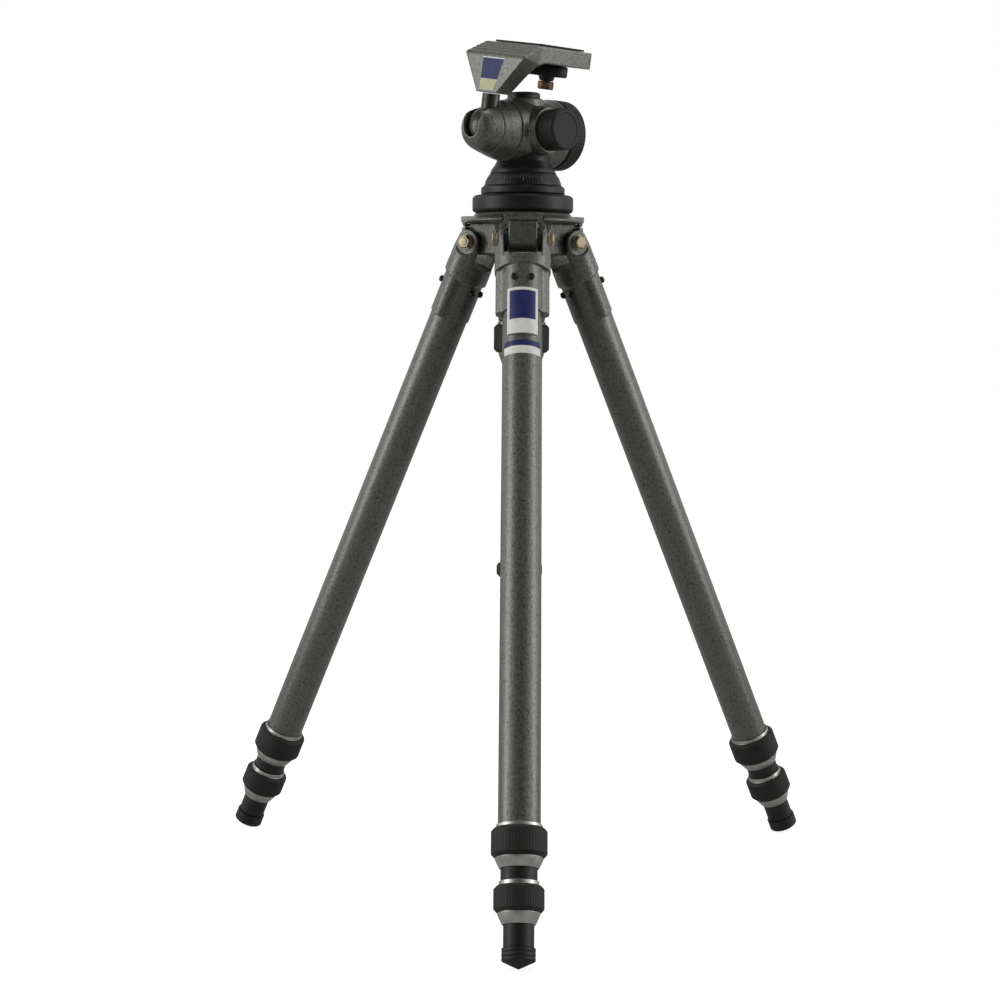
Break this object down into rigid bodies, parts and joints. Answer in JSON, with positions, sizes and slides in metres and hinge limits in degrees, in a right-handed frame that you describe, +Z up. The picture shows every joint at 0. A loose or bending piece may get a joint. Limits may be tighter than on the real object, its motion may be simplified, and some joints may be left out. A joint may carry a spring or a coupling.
{
  "type": "tripod with ball head",
  "caption": "Folding tripod with telescoping twist-lock legs, centre column and an off-centre ball head with a raked camera platform",
  "frame": {"origin": "middle of the footprint at floor level", "axes": "+Z up, the front leg points along -Y"},
  "size_m": [0.4552, 0.3971, 0.6139],
  "materials": {
    "hammertone": "grey-green hammertone enamel",
    "black_metal": "satin black",
    "rubber": "ribbed black rubber",
    "foot_rubber": "matt black rubber",
    "aluminium": "satin turned aluminium",
    "brass": "dull pale brass",
    "level_glass": "clear green-yellow level"
  },
  "bodies": {
    "tripod_top": {"spider": "hammertone", "hinge_bolt_1": "brass", "hinge_nut_1": "brass", "hinge_bolt_2": "brass", "hinge_nut_2": "brass", "hinge_bolt_3": "brass", "hinge_nut_3": "brass"},
    "column": {"column_disc": "black_metal", "column_tube": "hammertone", "column_end_cap": "black_metal", "head_stud": "aluminium", "pan_base": "black_metal", "pan_scale_ring": "black_metal"},
    "column_lock": {"column_lock_collar": "aluminium", "column_lock_grip": "rubber"},
    "head_housing": {"swivel_saddle": "black_metal", "barrel_body": "hammertone", "ball_socket": "hammertone", "thrust_pin": "aluminium", "level_case": "black_metal", "level_vial": "level_glass"},
    "ball_lock": {"ball_lock_knob": "black_metal"},
    "pan_lock": {"pan_lock_knob": "black_metal"},
    "ball_brake": {"brake_cup": "brass"},
    "ball": {"ball_stem": "aluminium"},
    "platform": {"camera_platform": "hammertone", "camera_pad": "rubber"},
    "screw_lock": {"screw_lock_knob": "black_metal"},
    "screw": {"camera_screw": "brass"},
    "stop_1": {"stop_tab_1": "hammertone"},
    "leg_1": {"leg_top_1": "hammertone", "upper_tube_1": "hammertone"},
    "upper_lock_1": {"lock_collar_upper_1": "aluminium", "lock_grip_upper_1": "rubber"},
    "middle_1": {"middle_tube_1": "black_metal"},
    "lower_lock_1": {"lock_collar_lower_1": "aluminium", "lock_grip_lower_1": "rubber"},
    "lower_1": {"lower_tube_1": "black_metal", "foot_1": "foot_rubber"},
    "stop_2": {"stop_tab_2": "hammertone"},
    "leg_2": {"leg_top_2": "hammertone", "upper_tube_2": "hammertone"},
    "upper_lock_2": {"lock_collar_upper_2": "aluminium", "lock_grip_upper_2": "rubber"},
    "middle_2": {"middle_tube_2": "black_metal"},
    "lower_lock_2": {"lock_collar_lower_2": "aluminium", "lock_grip_lower_2": "rubber"},
    "lower_2": {"lower_tube_2": "black_metal", "foot_2": "foot_rubber"},
    "stop_3": {"stop_tab_3": "hammertone"},
    "leg_3": {"leg_top_3": "hammertone", "upper_tube_3": "hammertone"},
    "upper_lock_3": {"lock_collar_upper_3": "aluminium", "lock_grip_upper_3": "rubber"},
    "middle_3": {"middle_tube_3": "black_metal"},
    "lower_lock_3": {"lock_collar_lower_3": "aluminium", "lock_grip_lower_3": "rubber"},
    "lower_3": {"lower_tube_3": "black_metal", "foot_3": "foot_rubber"}
  },
  "joints": [
    {"name": "column_slide", "type": "slide", "parent": "tripod_top", "child": "column", "axis": [0, 0, 1], "range_m": [0, 0.14]},
    {"name": "column_lock_turn", "type": "hinge", "parent": "tripod_top", "child": "column_lock", "pos_m": [0, 0.06236, 0.397], "axis": [0, 0, -1], "range_deg": [0, 120]},
    {"name": "leg_1_splay", "type": "hinge", "parent": "tripod_top", "child": "leg_1", "pos_m": [0, 0.02496, 0.46744], "axis": [-1, 0, 0], "range_deg": [-24.5, 0]},
    {"name": "stop_1_slide", "type": "slide", "parent": "tripod_top", "child": "stop_1", "axis": [0, -1, 0], "range_m": [0, 0.006]},
    {"name": "upper_lock_1_turn", "type": "hinge", "parent": "leg_1", "child": "upper_lock_1", "pos_m": [0, -0.15736, 0.0725], "axis": [0, -0.4191, -0.9079], "range_deg": [0, 120]},
    {"name": "middle_1_slide", "type": "slide", "parent": "leg_1", "child": "middle_1", "axis": [0, -0.4191, -0.9079], "range_m": [0, 0.36]},
    {"name": "lower_lock_1_turn", "type": "hinge", "parent": "middle_1", "child": "lower_lock_1", "pos_m": [0, -0.17245, 0.03981], "axis": [0, -0.4191, -0.9079], "range_deg": [0, 120]},
    {"name": "lower_1_slide", "type": "slide", "parent": "middle_1", "child": "lower_1", "axis": [0, -0.4191, -0.9079], "range_m": [0, 0.36]},
    {"name": "leg_2_splay", "type": "hinge", "parent": "tripod_top", "child": "leg_2", "pos_m": [0.03239, 0.08106, 0.46744], "axis": [0.5, -0.866, 0], "range_deg": [-24.5, 0]},
    {"name": "stop_2_slide", "type": "slide", "parent": "tripod_top", "child": "stop_2", "axis": [0.866, 0.5, 0], "range_m": [0, 0.006]},
    {"name": "upper_lock_2_turn", "type": "hinge", "parent": "leg_2", "child": "upper_lock_2", "pos_m": [0.19029, 0.17222, 0.0725], "axis": [0.363, 0.2096, -0.9079], "range_deg": [0, 120]},
    {"name": "middle_2_slide", "type": "slide", "parent": "leg_2", "child": "middle_2", "axis": [0.363, 0.2096, -0.9079], "range_m": [0, 0.36]},
    {"name": "lower_lock_2_turn", "type": "hinge", "parent": "middle_2", "child": "lower_lock_2", "pos_m": [0.20335, 0.17977, 0.03981], "axis": [0.363, 0.2096, -0.9079], "range_deg": [0, 120]},
    {"name": "lower_2_slide", "type": "slide", "parent": "middle_2", "child": "lower_2", "axis": [0.363, 0.2096, -0.9079], "range_m": [0, 0.36]},
    {"name": "leg_3_splay", "type": "hinge", "parent": "tripod_top", "child": "leg_3", "pos_m": [-0.03239, 0.08106, 0.46744], "axis": [0.5, 0.866, 0], "range_deg": [-24.5, 0]},
    {"name": "stop_3_slide", "type": "slide", "parent": "tripod_top", "child": "stop_3", "axis": [-0.866, 0.5, 0], "range_m": [0, 0.006]},
    {"name": "upper_lock_3_turn", "type": "hinge", "parent": "leg_3", "child": "upper_lock_3", "pos_m": [-0.19029, 0.17222, 0.0725], "axis": [-0.363, 0.2096, -0.9079], "range_deg": [0, 120]},
    {"name": "middle_3_slide", "type": "slide", "parent": "leg_3", "child": "middle_3", "axis": [-0.363, 0.2096, -0.9079], "range_m": [0, 0.36]},
    {"name": "lower_lock_3_turn", "type": "hinge", "parent": "middle_3", "child": "lower_lock_3", "pos_m": [-0.20335, 0.17977, 0.03981], "axis": [-0.363, 0.2096, -0.9079], "range_deg": [0, 120]},
    {"name": "lower_3_slide", "type": "slide", "parent": "middle_3", "child": "lower_3", "axis": [-0.363, 0.2096, -0.9079], "range_m": [0, 0.36]},
    {"name": "head_pan", "type": "hinge", "parent": "column", "child": "head_housing", "pos_m": [0, 0.06236, 0.517], "axis": [0, 0, 1], "continuous": true},
    {"name": "pan_lock_turn", "type": "hinge", "parent": "head_housing", "child": "pan_lock", "pos_m": [0.02158, 0.04152, 0.547], "axis": [0.7193, -0.6947, 0], "range_deg": [0, 180]},
    {"name": "ball_lock_turn", "type": "hinge", "parent": "head_housing", "child": "ball_lock", "pos_m": [0.02237, 0.08553, 0.547], "axis": [0.6947, 0.7193, 0], "range_deg": [0, 180]},
    {"name": "ball_lean", "type": "hinge", "parent": "head_housing", "child": "ball_brake", "pos_m": [-0.02626, 0.03517, 0.547], "axis": [0.6947, 0.7193, 0], "range_deg": [-18, 0]},
    {"name": "ball_tilt", "type": "hinge", "parent": "ball_brake", "child": "ball", "pos_m": [-0.02626, 0.03517, 0.547], "axis": [0.7105, -0.6861, -0.1564], "range_deg": [0, 90]},
    {"name": "ball_swivel", "type": "hinge", "parent": "ball", "child": "platform", "pos_m": [-0.02626, 0.03517, 0.547], "axis": [0.1125, -0.1087, 0.9877], "continuous": true},
    {"name": "screw_lock_turn", "type": "hinge", "parent": "platform", "child": "screw_lock", "pos_m": [0.01735, 0.06952, 0.59441], "axis": [0.1125, -0.1087, 0.9877], "continuous": true},
    {"name": "camera_screw_turn", "type": "hinge", "parent": "platform", "child": "screw", "pos_m": [0.01622, 0.07061, 0.58453], "axis": [0.1125, -0.1087, 0.9877], "continuous": true}
  ]
}
